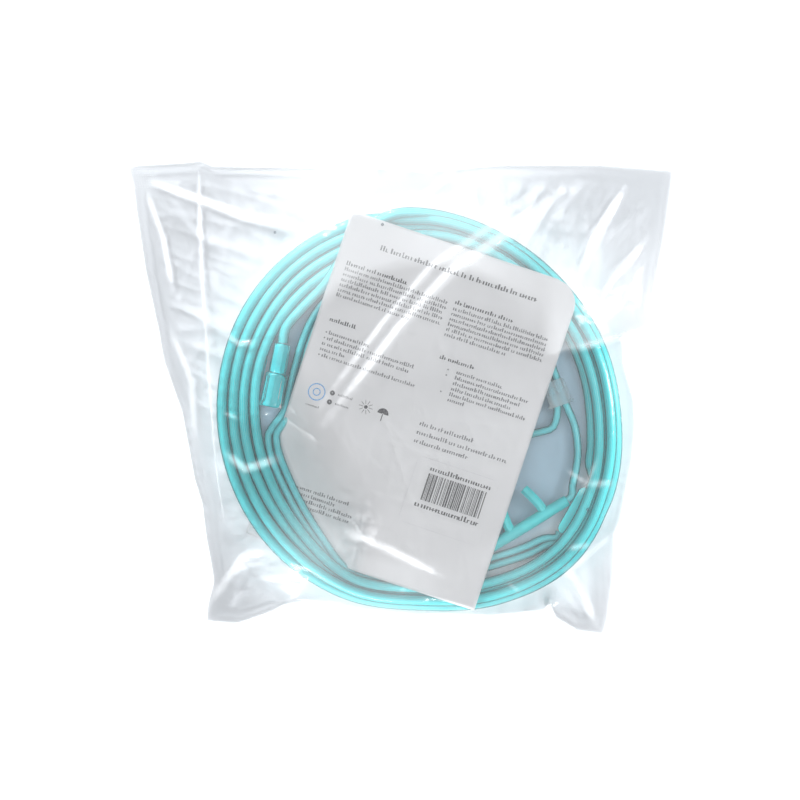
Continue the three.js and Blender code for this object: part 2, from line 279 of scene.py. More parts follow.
coil = {
    "centre": (9.4, -6.4),
    "floor": 0.75,
    "supply": 4.8,              # the supply tube's thickness
    "outerRadius": 89.4,
    # how far the outside departs from round, every 22.5 degrees
    "outerShape": [-2.6, -4.3, -4.9, -3.0, 0.1, 1.4, 2.1, 1.6,
                   0.7, 0.1, -0.4, -1.2, -2.8, 1.0, 4.5, 1.4],
    # 1 where strands lie side by side, about 0.5 where they are piled in two layers
    "spread": [0.57, 0.55, 0.56, 0.56, 0.64, 1.0, 1.0, 0.98,
               1.0, 1.0, 0.87, 0.54, 0.56, 0.58, 0.6, 0.57],
    "joinerEnd": 335.3,         # angle where the supply tube leaves the joiner
    "lastAngle": 1932.0,        # angle where it leaves the coil for the connector
    "shift": (92.0, 108.0),     # where each lap moves out by one place
    "firstSlot": 4.0,
    "step": 4.0,
    "wander": 0.22,
    # over the ear tubes' start: from, to, rise
    "hump": (305.0, 341.0, 0.9),
    "joinerTop": (82.1, -39.8),
}

# The end of the last lap climbs over the band and comes down on its inside
crossing = {
    "arc": 52.0,                # degrees before the end of the coil
    "radius": 69.7,
    "sideways": (95.0, 131.0),
    "up": (80.0, 95.0),
    "down": (116.0, 133.0),
    "rise": 4.9,
    "ceiling": 8.1,
    "settle": 1.0,
    "after": [(132.0, 4.25), (141.0, 5.25)],
}


def around(values, angle):
    count = len(values)
    t = (angle % 360.0) / 360.0 * count
    i = int(t) % count
    f = t - int(t)
    a, b, c, d = (values[(i + k) % count] for k in (-1, 0, 1, 2))
    return 0.5 * (2 * b + (c - a) * f + (2 * a - 5 * b + 4 * c - d) * f * f
                  + (3 * b - a - 3 * c + d) * f ** 3)


def ease(low, high, x):
    t = min(1.0, max(0.0, (x - low) / (high - low)))
    return t * t * (3 - 2 * t)


def onCoil(radius, angle):
    a = math.radians(angle)
    return coil["centre"][0] + radius * math.cos(a), coil["centre"][1] + radius * math.sin(a)


def outerReach(angle):
    return coil["outerRadius"] + around(coil["outerShape"], angle)


def wander(strand, angle, size):
    a = math.radians(angle)
    return size * (math.sin(a * 2 + strand * 2.1) + 0.6 * math.sin(a * 5 + strand * 4.3)
                   + 0.35 * math.sin(a * 11 + strand * 1.3)) / 1.6


# Strands side by side where the band is wide, in a zigzag of two layers where it is narrow
def slotPlace(slot, angle):
    spread = min(1.0, max(0.5, around(coil["spread"], angle)))
    pitch = coil["supply"]
    radius = outerReach(angle) - pitch / 2 - slot * pitch * spread
    up = 1.0 - abs(slot % 2.0 - 1.0)
    height = coil["floor"] + pitch / 2 + up * math.sqrt(1.0 - spread * spread) * pitch
    return radius, height


slide = {
    "centre": onCoil(72.4 - 13.2, 8.4),
    "angle": -70.2,
    "twin": 4.1,
    "height": 3.9,
}

nose = {
    "centre": onCoil(72.4 - 5.6, -46.2),
    "angle": 31.7,
    "barLength": 39.0,
    "height": 7.2,
    "prongLength": 11.5,
}

connector = {
    "centre": onCoil(72.4 - 6.7, 165.6),
    "heading": 79.2,
    "length": 28.1,
    "height": 5.85,
}


def along(piece, key, distance, across, height):
    a = math.radians(piece[key])
    cx, cy = piece["centre"]
    return (cx + math.cos(a) * distance - math.sin(a) * across,
            cy + math.sin(a) * distance + math.cos(a) * across, height)


def supplyRoute():
    jx, jy = coil["joinerTop"]
    points = [(jx + 0.15, jy + 0.3, 3.2), (jx + 2.2, jy + 4.2, 3.2)]
    low, high = coil["shift"]
    humpStart, humpEnd, hump = coil["hump"]
    travel = coil["joinerEnd"] + 2 * coil["step"]
    while travel < coil["lastAngle"]:
        angle = travel % 360.0
        lap = math.floor((travel - coil["joinerEnd"]) / 360.0)
        slot = coil["firstSlot"] - math.floor((travel - low) / 360.0)
        if angle >= low:
            slot += 1.0 - ease(low, high, angle)
        radius, height = slotPlace(max(0.0, slot), angle)
        radius += wander(lap, angle, coil["wander"])
        if humpStart < angle < humpEnd and slot > 1.5:
            height += hump * math.sin(math.pi * (angle - humpStart) / (humpEnd - humpStart))
        if coil["lastAngle"] - travel < crossing["arc"]:
            over = ease(*crossing["sideways"], angle)
            down = ease(*crossing["down"], angle)
            radius = radius * (1 - over) + crossing["radius"] * over
            height = max(height, coil["floor"] + coil["supply"] / 2)
            height += crossing["rise"] * ease(*crossing["up"], angle) * (1 - down)
            height = min(height, crossing["ceiling"]) + crossing["settle"] * down
        points.append((*onCoil(radius, angle), height))
        travel += coil["step"]
    points += [(*onCoil(crossing["radius"], angle), height) for angle, height in crossing["after"]]
    half = connector["length"] / 2
    points += [along(connector, "heading", half + d, 0, connector["height"]) for d in (7.0, 0.3)]
    return points


# Ear tubes, from the joiner round the inside of the coil to the adjuster: radius, angle, height
earLap = {
    "outer": [
        (79.8, -46, 2.5), (77.3, -53, 2.5), (74.6, -61, 2.5), (72.8, -70, 2.5), (72.1, -82, 2.5),
        (73.2, -96, 2.5), (75.2, -104, 2.5), (76.3, -112, 2.5), (75.6, -119, 2.5), (73.4, -127, 2.5),
        (70.8, -138, 2.5), (68.9, -150, 2.5), (68.8, -163, 2.5), (68.4, -171, 2.5), (66.0, -174.5, 2.5),
        (62.6, -178, 2.5), (60.0, -182, 2.5), (59.2, -188, 2.5), (59.1, -195, 2.5), (59.9, -204, 2.5),
        (61.5, -212, 2.5), (63.5, -220.4, 2.5), (64.9, -228, 2.5), (65.9, -238, 2.5), (66.8, -250, 2.6),
        (67.5, -260, 2.8), (68.3, -268, 3.1), (69.4, -275, 3.5), (70.05, -282, 3.9), (68.45, -296, 3.9),
        (65.45, -310, 3.9), (62.35, -325, 3.9)],
    "inner": [
        (76.3, -46, 2.5), (73.6, -53, 2.5), (71.0, -61, 2.5), (69.2, -70, 2.5), (68.5, -82, 2.5),
        (70.6, -96, 3.0), (74.2, -104, 4.8), (76.0, -112, 5.9), (74.6, -119, 4.9), (70.8, -127, 3.0),
        (67.3, -138, 2.5), (65.4, -150, 2.5), (65.2, -163, 2.5), (64.8, -171, 2.5), (62.3, -174.5, 2.5),
        (59.0, -178, 2.5), (56.4, -182, 2.5), (55.6, -188, 2.5), (55.5, -195, 2.5), (56.3, -204, 2.5),
        (57.9, -212, 2.5), (59.9, -220.4, 2.5), (61.3, -228, 2.5), (62.3, -238, 2.5), (63.2, -250, 2.6),
        (63.9, -260, 2.8), (64.6, -268, 3.1), (65.4, -275, 3.5), (65.95, -282, 3.9), (64.35, -296, 3.9),
        (61.35, -310, 3.9), (58.25, -325, 3.9)],
}

# Before the lap in mm: x, y, height. After the adjuster: radius, angle, height, and on the bar's line:
# distance, across, height.
earEnds = {
    "outer": {
        "start": [(72.45, -60.35, 2.9), (71.0, -62.9, 2.7)],
        "back": [(66.6, -5.0, 3.8), (69.6, -13.5, 4.0), (71.2, -20, 4.8), (72.6, -26.0, 6.0)],
        "bar": [(22.6, 0.9, 7.1), (19.7, 0, 7.2)],
        "side": 1,
    },
    "inner": {
        "start": [(69.15, -58.45, 2.9), (67.7, -61.0, 2.7)],
        "back": [
            (57.4, -6.0, 3.4), (52.6, -9.0, 2.9), (45.4, -13.0, 2.45), (39.4, -22, 2.45), (36.4, -36, 2.45),
            (36.4, -50, 2.45), (38.9, -65, 2.45), (45.2, -83, 2.45), (54.0, -97, 2.45), (60.8, -94, 2.45),
            (64.4, -85, 3.45), (66.0, -75, 5.2)],
        "bar": [(-25.5, 0, 7.2), (-19.8, 0, 7.2)],
        "side": -1,
    },
}


def earRoute(side):
    ends = earEnds[side]
    across = slide["twin"] / 2 * ends["side"]
    lap = [(*onCoil(radius, angle), height) for radius, angle, height in earLap[side]]
    through = [along(slide, "angle", d, across, slide["height"]) for d in (-14, -7, 0, 6.5)]
    back = [(*onCoil(radius, angle), height) for radius, angle, height in ends["back"]]
    bar = [along(nose, "angle", *place) for place in ends["bar"]]
    return ends["start"] + lap + through + back + bar


# Thread a smooth curve through the points, evenly spaced
def threaded(points, step):
    p = np.array(points, float)
    p = np.vstack([2 * p[0] - p[1], p, 2 * p[-1] - p[-2]])
    out = []
    for i in range(1, len(p) - 2):
        a, b, c, d = p[i - 1], p[i], p[i + 1], p[i + 2]
        for k in range(12):
            f = k / 12.0
            out.append(0.5 * (2 * b + (c - a) * f + (2 * a - 5 * b + 4 * c - d) * f ** 2
                              + (3 * b - a - 3 * c + d) * f ** 3))
    out.append(p[-2])
    out = np.array(out)
    length = np.concatenate([[0], np.cumsum(np.linalg.norm(np.diff(out, axis=0), axis=1))])
    count = max(2, int(round(length[-1] / step)) + 1)
    even = np.linspace(0, length[-1], count)
    return np.stack([np.interp(even, length, out[:, k]) for k in range(3)], axis=1), length[-1]


# Starts a Geometry Nodes tree. Wanted holds, for each input, its label, its kind and its default.
def startTree(name, source, result, wanted):
    tree = bpy.data.node_groups.new(name, "GeometryNodeTree")
    tree.interface.new_socket(name=source, in_out="INPUT", socket_type="NodeSocketGeometry")
    inputs = {}
    for key, (label, kind, default) in wanted.items():
        item = tree.interface.new_socket(name=label, in_out="INPUT", socket_type="NodeSocket" + kind)
        if default is not None:
            item.default_value = default
        inputs[key] = item.identifier
    tree.interface.new_socket(name=result, in_out="OUTPUT", socket_type="NodeSocketGeometry")
    return tree, inputs, addNode(tree, "NodeGroupInput").outputs


# Tube: a clear skin round a ridged core, swept along its path with Geometry Nodes
def tubeTree():
    tree, inputs, given = startTree("tubeAlongPath", "Path", "Tube", {
        "skin": ("Skin radius", "Float", 2.4 * mm),
        "core": ("Core radius", "Float", 1.7 * mm),
        "valley": ("Core valley radius", "Float", 1.3 * mm),
        "ridges": ("Ridges", "Int", 9),
        "skinFinish": ("Skin finish", "Material", None),
        "coreFinish": ("Core finish", "Material", None),
    })
    circle = addNode(tree, "GeometryNodeCurvePrimitiveCircle", {"Resolution": 16, "Radius": given["Skin radius"]})
    star = addNode(tree, "GeometryNodeCurveStar", {
        "Points": given["Ridges"], "Outer Radius": given["Core radius"],
        "Inner Radius": given["Core valley radius"]})
    # the attribute is 1 on the core's ridges, 0.25 in its valleys and missing on the skin; the core's finish uses
    # it to paint a highlight on the ridges
    share = combine(tree, "MULTIPLY_ADD", star.outputs["Outer Points"], 0.75, 0.25)
    mark = addNode(tree, "GeometryNodeStoreNamedAttribute", {
        "Geometry": star.outputs["Curve"], "Name": "ridge", "Value": share}, data_type="FLOAT", domain="POINT")
    both = addNode(tree, "GeometryNodeJoinGeometry")
    for profile in (circle.outputs["Curve"], mark.outputs["Geometry"]):
        swept = addNode(tree, "GeometryNodeCurveToMesh", {
            "Curve": given["Path"], "Profile Curve": profile, "Fill Caps": True})
        tree.links.new(swept.outputs["Mesh"], both.inputs["Geometry"])
    real = addNode(tree, "GeometryNodeRealizeInstances", {"Geometry": both.outputs["Geometry"]})
    soft = addNode(tree, "GeometryNodeSetShadeSmooth", {"Geometry": real.outputs["Geometry"]})
    dressed = addNode(tree, "GeometryNodeSetMaterial", {
        "Geometry": soft.outputs["Geometry"], "Material": given["Skin finish"]})
    ridge = addNode(tree, "GeometryNodeInputNamedAttribute", {"Name": "ridge"}, data_type="FLOAT")
    isCore = addNode(tree, "FunctionNodeCompare", {"A": ridge.outputs["Attribute"], "B": 0.1},
                     data_type="FLOAT", operation="GREATER_THAN")
    dressedCore = addNode(tree, "GeometryNodeSetMaterial", {
        "Geometry": dressed.outputs["Geometry"], "Selection": isCore.outputs["Result"],
        "Material": given["Core finish"]})
    addNode(tree, "NodeGroupOutput", {"Tube": dressedCore.outputs["Geometry"]})
    return tree, inputs


def pathObject(name, points):
    curve = bpy.data.curves.new(name, "CURVE")
    curve.dimensions = "3D"
    spline = curve.splines.new("POLY")
    spline.points.add(len(points) - 1)
    for point, (x, y, z) in zip(spline.points, points):
        point.co = (x * mm, y * mm, z * mm, 1)
    piece = bpy.data.objects.new(name, curve)
    bpy.context.collection.objects.link(piece)
    return piece


# Bake a piece whose shape comes from a Geometry Nodes tree
def bakeNodes(source, name, tree, settings):
    modifier = source.modifiers.new("made", "NODES")
    modifier.node_group = tree
    for key, value in settings.items():
        modifier[key] = value
    bpy.context.view_layer.update()
    graph = bpy.context.evaluated_depsgraph_get()
    mesh = bpy.data.meshes.new_from_object(source.evaluated_get(graph), depsgraph=graph)
    mesh.name = name
    source.modifiers.remove(modifier)
    bpy.data.objects.remove(source)
    piece = bpy.data.objects.new(name, mesh)
    bpy.context.collection.objects.link(piece)
    return piece


tubeLook = {
    "supply": {"skin": 2.4, "core": 1.95, "valley": 1.45, "ridges": 12},
    "ear": {"skin": 1.75, "core": 1.35, "valley": 0.95, "ridges": 9},
}


def makeTube(name, route, look, finishes, shared):
    tree, inputs = shared
    path, length = threaded(route, 2.2)
    source = pathObject(name + "Path", path)
    piece = bakeNodes(source, name, tree, {
        inputs["skin"]: look["skin"] * mm,
        inputs["core"]: look["core"] * mm,
        inputs["valley"]: look["valley"] * mm,
        inputs["ridges"]: look["ridges"],
        inputs["skinFinish"]: finishes[0],
        inputs["coreFinish"]: finishes[1],
    })
    return piece, path, length


# Tube finishes: the skin is nearly clear, the core carries the sea-green in fine lengthwise lines, its ridges
# lighter with painted highlight
def skinMaterial(name, tint, milk, share):
    material, tree = startMaterial(name)
    darker = tuple(c * 0.9 for c in milk)
    cloud = addNode(tree, "ShaderNodeBsdfDiffuse", {
        "Color": ramp(tree, noise(tree, 45.0, 3.0), [(0.35, darker), (0.65, milk)])})
    gloss = addNode(tree, "ShaderNodeBsdfGlossy", {"Roughness": 0.16})
    coat(tree, blend(tree, share, clearShader(tree, (*tint, 1)), cloud), gloss, 1.36)
    return material


def coreMaterial(name, ridgeHighlightColor, valleyColor, share):
    material, tree = startMaterial(name)
    shift = combine(tree, "MULTIPLY_ADD", noise(tree, 30.0, 3.0), 0.7, -0.35)
    level = combine(tree, "ADD", attribute(tree, "ridge"), shift)
    # painted highlight: ridges paler than the teal valleys, in place of the lines of light the lumen refracts
    tone = ramp(tree, level, [(0.35, valleyColor), (0.9, ridgeHighlightColor)])
    solid = addNode(tree, "ShaderNodeBsdfPrincipled", {"Base Color": tone, "Roughness": 0.35})
    show(tree, blend(tree, share, clearShader(tree, tone), solid))
    return material


# core colours: painted highlight on the ridges, then the teal of the valleys
supplySkin = skinMaterial("supplySkin", (0.62, 1.0, 1.0), (0.16, 0.93, 0.98), 0.26)
supplyCore = coreMaterial("supplyCore", (0.50, 1.0, 1.0), (0.0, 0.86, 0.92), 0.78)
earSkin = skinMaterial("earSkin", (0.66, 0.995, 1.0), (0.26, 0.93, 0.98), 0.24)
earCore = coreMaterial("earCore", (0.70, 1.0, 1.0), (0.02, 0.84, 0.92), 0.66)

sharedTree = tubeTree()
supplyTube, supplyPath, supplyLength = makeTube(
    "supplyTube", supplyRoute(), tubeLook["supply"], (supplySkin, supplyCore), sharedTree)
earOuter, outerPath, outerLength = makeTube(
    "earTubeOuter", earRoute("outer"), tubeLook["ear"], (earSkin, earCore), sharedTree)
earInner, innerPath, innerLength = makeTube(
    "earTubeInner", earRoute("inner"), tubeLook["ear"], (earSkin, earCore), sharedTree)
print("tubes: supply %.0f mm, ear %.0f and %.0f mm" % (supplyLength, outerLength, innerLength))


# Turned pieces: profile is [radius, distance along], swept round an axis
def turnedMesh(name, profile, start, axis, sides, material, ribs):
    axis = Vector(axis).normalized()
    side = axis.cross(Vector((0, 0, 1))).normalized()
    top = side.cross(axis)
    start = Vector(start)
    vertices, faces = [], []
    for j, (radius, distance) in enumerate(profile):
        for i in range(sides):
            a = 2 * math.pi * i / sides
            r = radius + ribs(a, distance, radius)
            outward = side * math.cos(a) + top * math.sin(a)
            vertices.append((start + axis * distance + outward * r) * mm)
    for j in range(len(profile) - 1):
        for i in range(sides):
            k = (i + 1) % sides
            faces.append((j * sides + i, j * sides + k, (j + 1) * sides + k, (j + 1) * sides + i))
    faces.append(tuple(range(sides))[::-1])
    faces.append(tuple((len(profile) - 1) * sides + i for i in range(sides)))
    return addMesh(name, vertices, faces, material)


# Fittings

connectorVinyl = fittingMaterial("connectorVinyl", (0.0, 0.58, 0.63), 0.88)
tabVinyl = fittingMaterial("tabVinyl", (0.0, 0.62, 0.67), 0.84)
joinerVinyl = fittingMaterial("joinerVinyl", (0.0, 0.93, 0.99), 0.88)
noseVinyl = fittingMaterial("noseVinyl", (0.04, 0.96, 1.0), 0.65, 0.4)
clearPlastic = fittingMaterial("clearPlastic", (0.70, 0.90, 0.96), 0.3, 0.2)


def connectorPiece(look):
    heading = math.radians(look["heading"])
    axis = (math.cos(heading), math.sin(heading), 0)
    start = along(look, "heading", -look["length"] / 2, 0, look["height"])
    # the socket's bore, its flared mouth, the grip, the neck and the end where the tube goes in
    profile = [(0.6, 17.0), (2.6, 16.9), (3.0, 16.0), (3.2, 6.0), (3.45, 1.2), (3.6, 0.0), (4.75, 0.0),
               (5.05, 0.25), (5.15, 0.7), (5.0, 1.6), (4.9, 2.4), (4.85, 5.0), (4.8, 8.0), (4.7, 11.0),
               (4.75, 13.2), (4.85, 13.8), (4.7, 14.6), (4.2, 14.9), (3.75, 15.2), (3.7, 16.0),
               (3.75, 18.0), (3.7, 21.0), (3.65, 24.0), (3.65, 26.6), (3.55, 27.6), (3.1, 28.05),
               (2.5, 28.1)]

    def ribs(a, distance, radius):
        if 2.4 <= distance <= 13.2 and radius > 4.2:
            return 0.22 * max(0.0, math.cos(12 * a)) - 0.1
        if 15.6 <= distance <= 27.0:
            return 0.16 * max(0.0, math.cos(10 * a)) - 0.06
        return 0.0

    return turnedMesh("ribbedConnector", profile, start, axis, 96, connectorVinyl, ribs)


connectorShell = connectorPiece(connector)
print("connector ready")


def dress(nodeName, material):
    piece = bpy.data.objects[nodeName]
    if not piece.material_slots:
        piece.data.materials.append(material)
    for materialSlot in piece.material_slots:
        materialSlot.material = material


for nodeName, material in (("flat_tab", tabVinyl), ("tube_joiner", joinerVinyl), ("nasal_piece", noseVinyl),
                           ("tube_adjuster", clearPlastic), ("end_connector", connectorVinyl),
                           ("tube_coil", supplySkin), ("supply_tube_end", supplySkin),
                           ("ear_tube_inner", earSkin), ("ear_tube_outer", earSkin)):
    dress(nodeName, material)


# Leaflet: it lies on the strands and dips under them at its lower left

leafletLook = {
    "size": (105.0, 148.0),
    "corner": 11.0,
    "centre": (coil["centre"][0] - 4.2, coil["centre"][1] + 1.0),
    "turn": -18.4,
    "high": 10.75,
    "highest": 10.95,
    "low": 0.55,                # where it is tucked under the strands
    "sag": 2.6,                 # in the hole of the coil
    "thickness": 0.12,
    "cells": (84, 118),
}


def leafletPoint(u, v):
    look = leafletLook
    x = u - look["size"][0] / 2
    y = look["size"][1] / 2 - v
    a = math.radians(look["turn"])
    return (look["centre"][0] + x * math.cos(a) - y * math.sin(a),
            look["centre"][1] + x * math.sin(a) + y * math.cos(a))


def leafletHeight(x, y):
    look = leafletLook
    dx, dy = x - coil["centre"][0], y - coil["centre"][1]
    angle = math.degrees(math.atan2(dy, dx)) % 360.0
    radius = math.hypot(dx, dy)
    toward = dx * math.cos(math.radians(210)) + dy * math.sin(math.radians(210))
    tuck = ease(34.0, 65.0, toward) * (1.0 - ease(236.0, 250.0, angle) * ease(30.0, 60.0, radius))
    sag = look["sag"] * (1 - ease(20.0, 68.0, radius))
    ripple = 0.35 * math.sin(x * 0.09 + y * 0.05) + 0.25 * math.sin(x * 0.05 - y * 0.13 + 1.0)
    calm = 1.0 - ease(60.0, 76.0, radius) * 0.75
    height = min(look["high"] - sag + ripple * calm * 0.8, look["highest"])
    return height * (1 - tuck) + look["low"] * tuck


def buildLeaflet():
    look = leafletLook
    w, h = look["size"]
    nu, nv = look["cells"]
    r = look["corner"]
    vertices = []
    for j in range(nv + 1):
        v = h * j / nv
        reach = w - (r - math.sqrt(max(0.0, r * r - (r - v) ** 2))) if v < r else w
        for i in range(nu + 1):
            u = w * i / nu
            if u > w - 2 * r:
                u = (w - 2 * r) + (u - (w - 2 * r)) * (reach - (w - 2 * r)) / (2 * r)
            x, y = leafletPoint(u, v)
            vertices.append((x * mm, y * mm, leafletHeight(x, y) * mm))
    sheet = addMesh("paperLeaflet", vertices, netFaces(nu, nv), paperMaterial("leafletPaper"))
    body = sheet.modifiers.new("thickness", "SOLIDIFY")
    body.thickness = look["thickness"] * mm
    body.offset = -1
    return sheet


leafletSheet = buildLeaflet()


# Print on the leaflet: plain grey word strokes and marks, nothing that reads

printLook = {
    "lift": 0.05,
    "seed": 11,
    "ink": (0.045, 0.045, 0.05),
    "grey": (0.16, 0.16, 0.17),
    "blue": (0.10, 0.32, 0.62),
    "edge": (0.50, 0.50, 0.52),
}


class Ink:
    def __init__(self):
        self.vertices = []
        self.faces = []

    def quad(self, corners):
        us = [c[0] for c in corners]
        steps = max(1, int((max(us) - min(us)) / 1.6) + 1)
        (u0, v0), (u1, v1), (u2, v2), (u3, v3) = corners
        first = len(self.vertices)
        for i in range(steps + 1):
            f = i / steps
            for (ua, va), (ub, vb) in (((u0, v0), (u1, v1)), ((u3, v3), (u2, v2))):
                x, y = leafletPoint(ua + (ub - ua) * f, va + (vb - va) * f)
                self.vertices.append((x * mm, y * mm, (leafletHeight(x, y) + printLook["lift"]) * mm))
        for i in range(steps):
            a = first + 2 * i
            self.faces.append((a, a + 1, a + 3, a + 2))

    def bar(self, u, v, width, height):
        self.quad([(u, v), (u + width, v), (u + width, v + height), (u, v + height)])

    def line(self, u, v, width, height, rng, gap=0.75):
        at = u
        while at < u + width - 1.0:
            word = min(rng.uniform(1.6, 6.2), u + width - at)
            self.strokes(at, v, word, height, rng)
            at += word + gap

    # one word stroke: short uneven uprights along a thin middle bar
    def strokes(self, u, v, width, height, rng):
        at = u
        while at < u + width:
            tall = rng.choice((0.62, 0.62, 0.66, 1.0))
            thick = height * rng.uniform(0.20, 0.34)
            top = v + height * (1 - tall)
            self.bar(at, top, thick, height * tall)
            if rng.random() < 0.6:
                self.bar(at, v + height * rng.choice((0.40, 0.64, 0.88)), height * 0.5, height * 0.13)
            at += height * rng.uniform(0.50, 0.62)

    def ring(self, u, v, radius, width, start=0, stop=360):
        steps = max(6, int(36 * (stop - start) / 360))
        for i in range(steps):
            a = math.radians(start + (stop - start) * i / steps)
            b = math.radians(start + (stop - start) * (i + 1) / steps)
            inner = radius - width
            self.quad([(u + radius * math.cos(a), v + radius * math.sin(a)),
                       (u + radius * math.cos(b), v + radius * math.sin(b)),
                       (u + inner * math.cos(b), v + inner * math.sin(b)),
                       (u + inner * math.cos(a), v + inner * math.sin(a))])

    def piece(self, name, color):
        return addMesh(name, self.vertices, self.faces, inkMaterial(name + "Ink", color), smooth=False)


# Places are in mm from the sheet's top left corner: across, down
def buildPrint():
    rng = random.Random(printLook["seed"])
    dark, grey, blue = Ink(), Ink(), Ink()
    dark.line(16.9, 10.2, 71.5, 2.3, rng, 1.0)
    dark.line(5.0, 21.2, 27.0, 1.9, rng)
    for i in range(6):
        grey.line(5.0, 23.9 + i * 2.35, 46.5 if i < 5 else 34.0, 1.7, rng)
    dark.line(5.7, 46.6, 11.5, 1.8, rng)
    for i, width in enumerate((18.5, 41.0, 40.5, 11.0, 42.0)):
        grey.line(7.2 if i in (0, 1, 4) else 5.7, 52.4 + i * 2.55, width, 1.7, rng)
        if i in (0, 1, 4):
            grey.bar(5.7, 53.2 + i * 2.55, 0.6, 0.6)
    dark.line(55.0, 22.4, 26.0, 1.9, rng)
    for i in range(6):
        grey.line(55.0, 25.4 + i * 2.35, 43.5 if i < 5 else 28.0, 1.7, rng)
    dark.line(56.2, 47.0, 15.5, 1.8, rng)
    for i, width in enumerate((22.0, 33.0, 30.0, 27.0, 34.0, 7.0)):
        grey.line(65.2, 51.2 + i * 2.5, width, 1.7, rng)
        if i in (0, 1, 4):
            grey.bar(61.0, 52.0 + i * 2.5, 0.6, 0.6)
    for v, width in ((77.2, 24.5), (81.1, 42.0), (84.9, 24.0)):
        grey.line(57.0, v, width, 1.9, rng)
    blue.ring(10.2, 79.5, 3.8, 0.45)
    blue.ring(10.2, 79.5, 1.7, 0.4)
    for v in (77.8, 81.9):
        dark.ring(16.8, v, 1.1, 0.9)
        grey.line(19.4, v - 0.8, 6.6, 1.2, rng, 0.5)
    grey.line(7.2, 85.2, 6.0, 1.0, rng, 0.4)
    for i in range(10):
        a = math.radians(36 * i)
        ca, sa = math.cos(a), math.sin(a)
        dark.quad([(32.5 + 1.3 * ca - 0.1 * sa, 79.0 + 1.3 * sa + 0.1 * ca),
                   (32.5 + 3.1 * ca - 0.1 * sa, 79.0 + 3.1 * sa + 0.1 * ca),
                   (32.5 + 3.1 * ca + 0.1 * sa, 79.0 + 3.1 * sa - 0.1 * ca),
                   (32.5 + 1.3 * ca + 0.1 * sa, 79.0 + 1.3 * sa - 0.1 * ca)])
    dark.ring(32.5, 79.0, 0.8, 0.7)
    dark.ring(40.4, 79.6, 2.5, 2.2, 180, 360)
    dark.bar(40.25, 79.6, 0.35, 3.2)
    for i, width in enumerate((33.5, 27.0, 36.0, 36.5, 20.0, 22.0)):
        grey.line(5.7, 120.6 + i * 2.5, width, 1.7, rng)
    dark.line(67.6, 94.2, 27.0, 2.1, rng, 0.9)
    at = 67.6
    while at < 94.2:
        thick = rng.choice((0.25, 0.25, 0.45, 0.7))
        dark.bar(at, 97.6, thick, 12.0)
        at += thick + rng.choice((0.28, 0.28, 0.5, 0.7))
    dark.line(65.8, 110.6, 29.0, 2.3, rng, 0.5)
    edge = Ink()
    for u, v, width, height in ((62.5, 91.5, 34.0, 0.12), (62.5, 121.0, 34.0, 0.12)):
        edge.bar(u, v, width, height)
    for u in (61.0, 98.0):
        edge.bar(u, 93.0, 0.12, 26.5)
    return [dark.piece("printDark", printLook["ink"]), grey.piece("printGrey", printLook["grey"]),
            blue.piece("printBlue", printLook["blue"]), edge.piece("stickerEdge", printLook["edge"])]


printPieces = buildPrint()
print("leaflet ready")


# Pouch film: two sheets welded along the outline, the upper one stretched over what lies in it

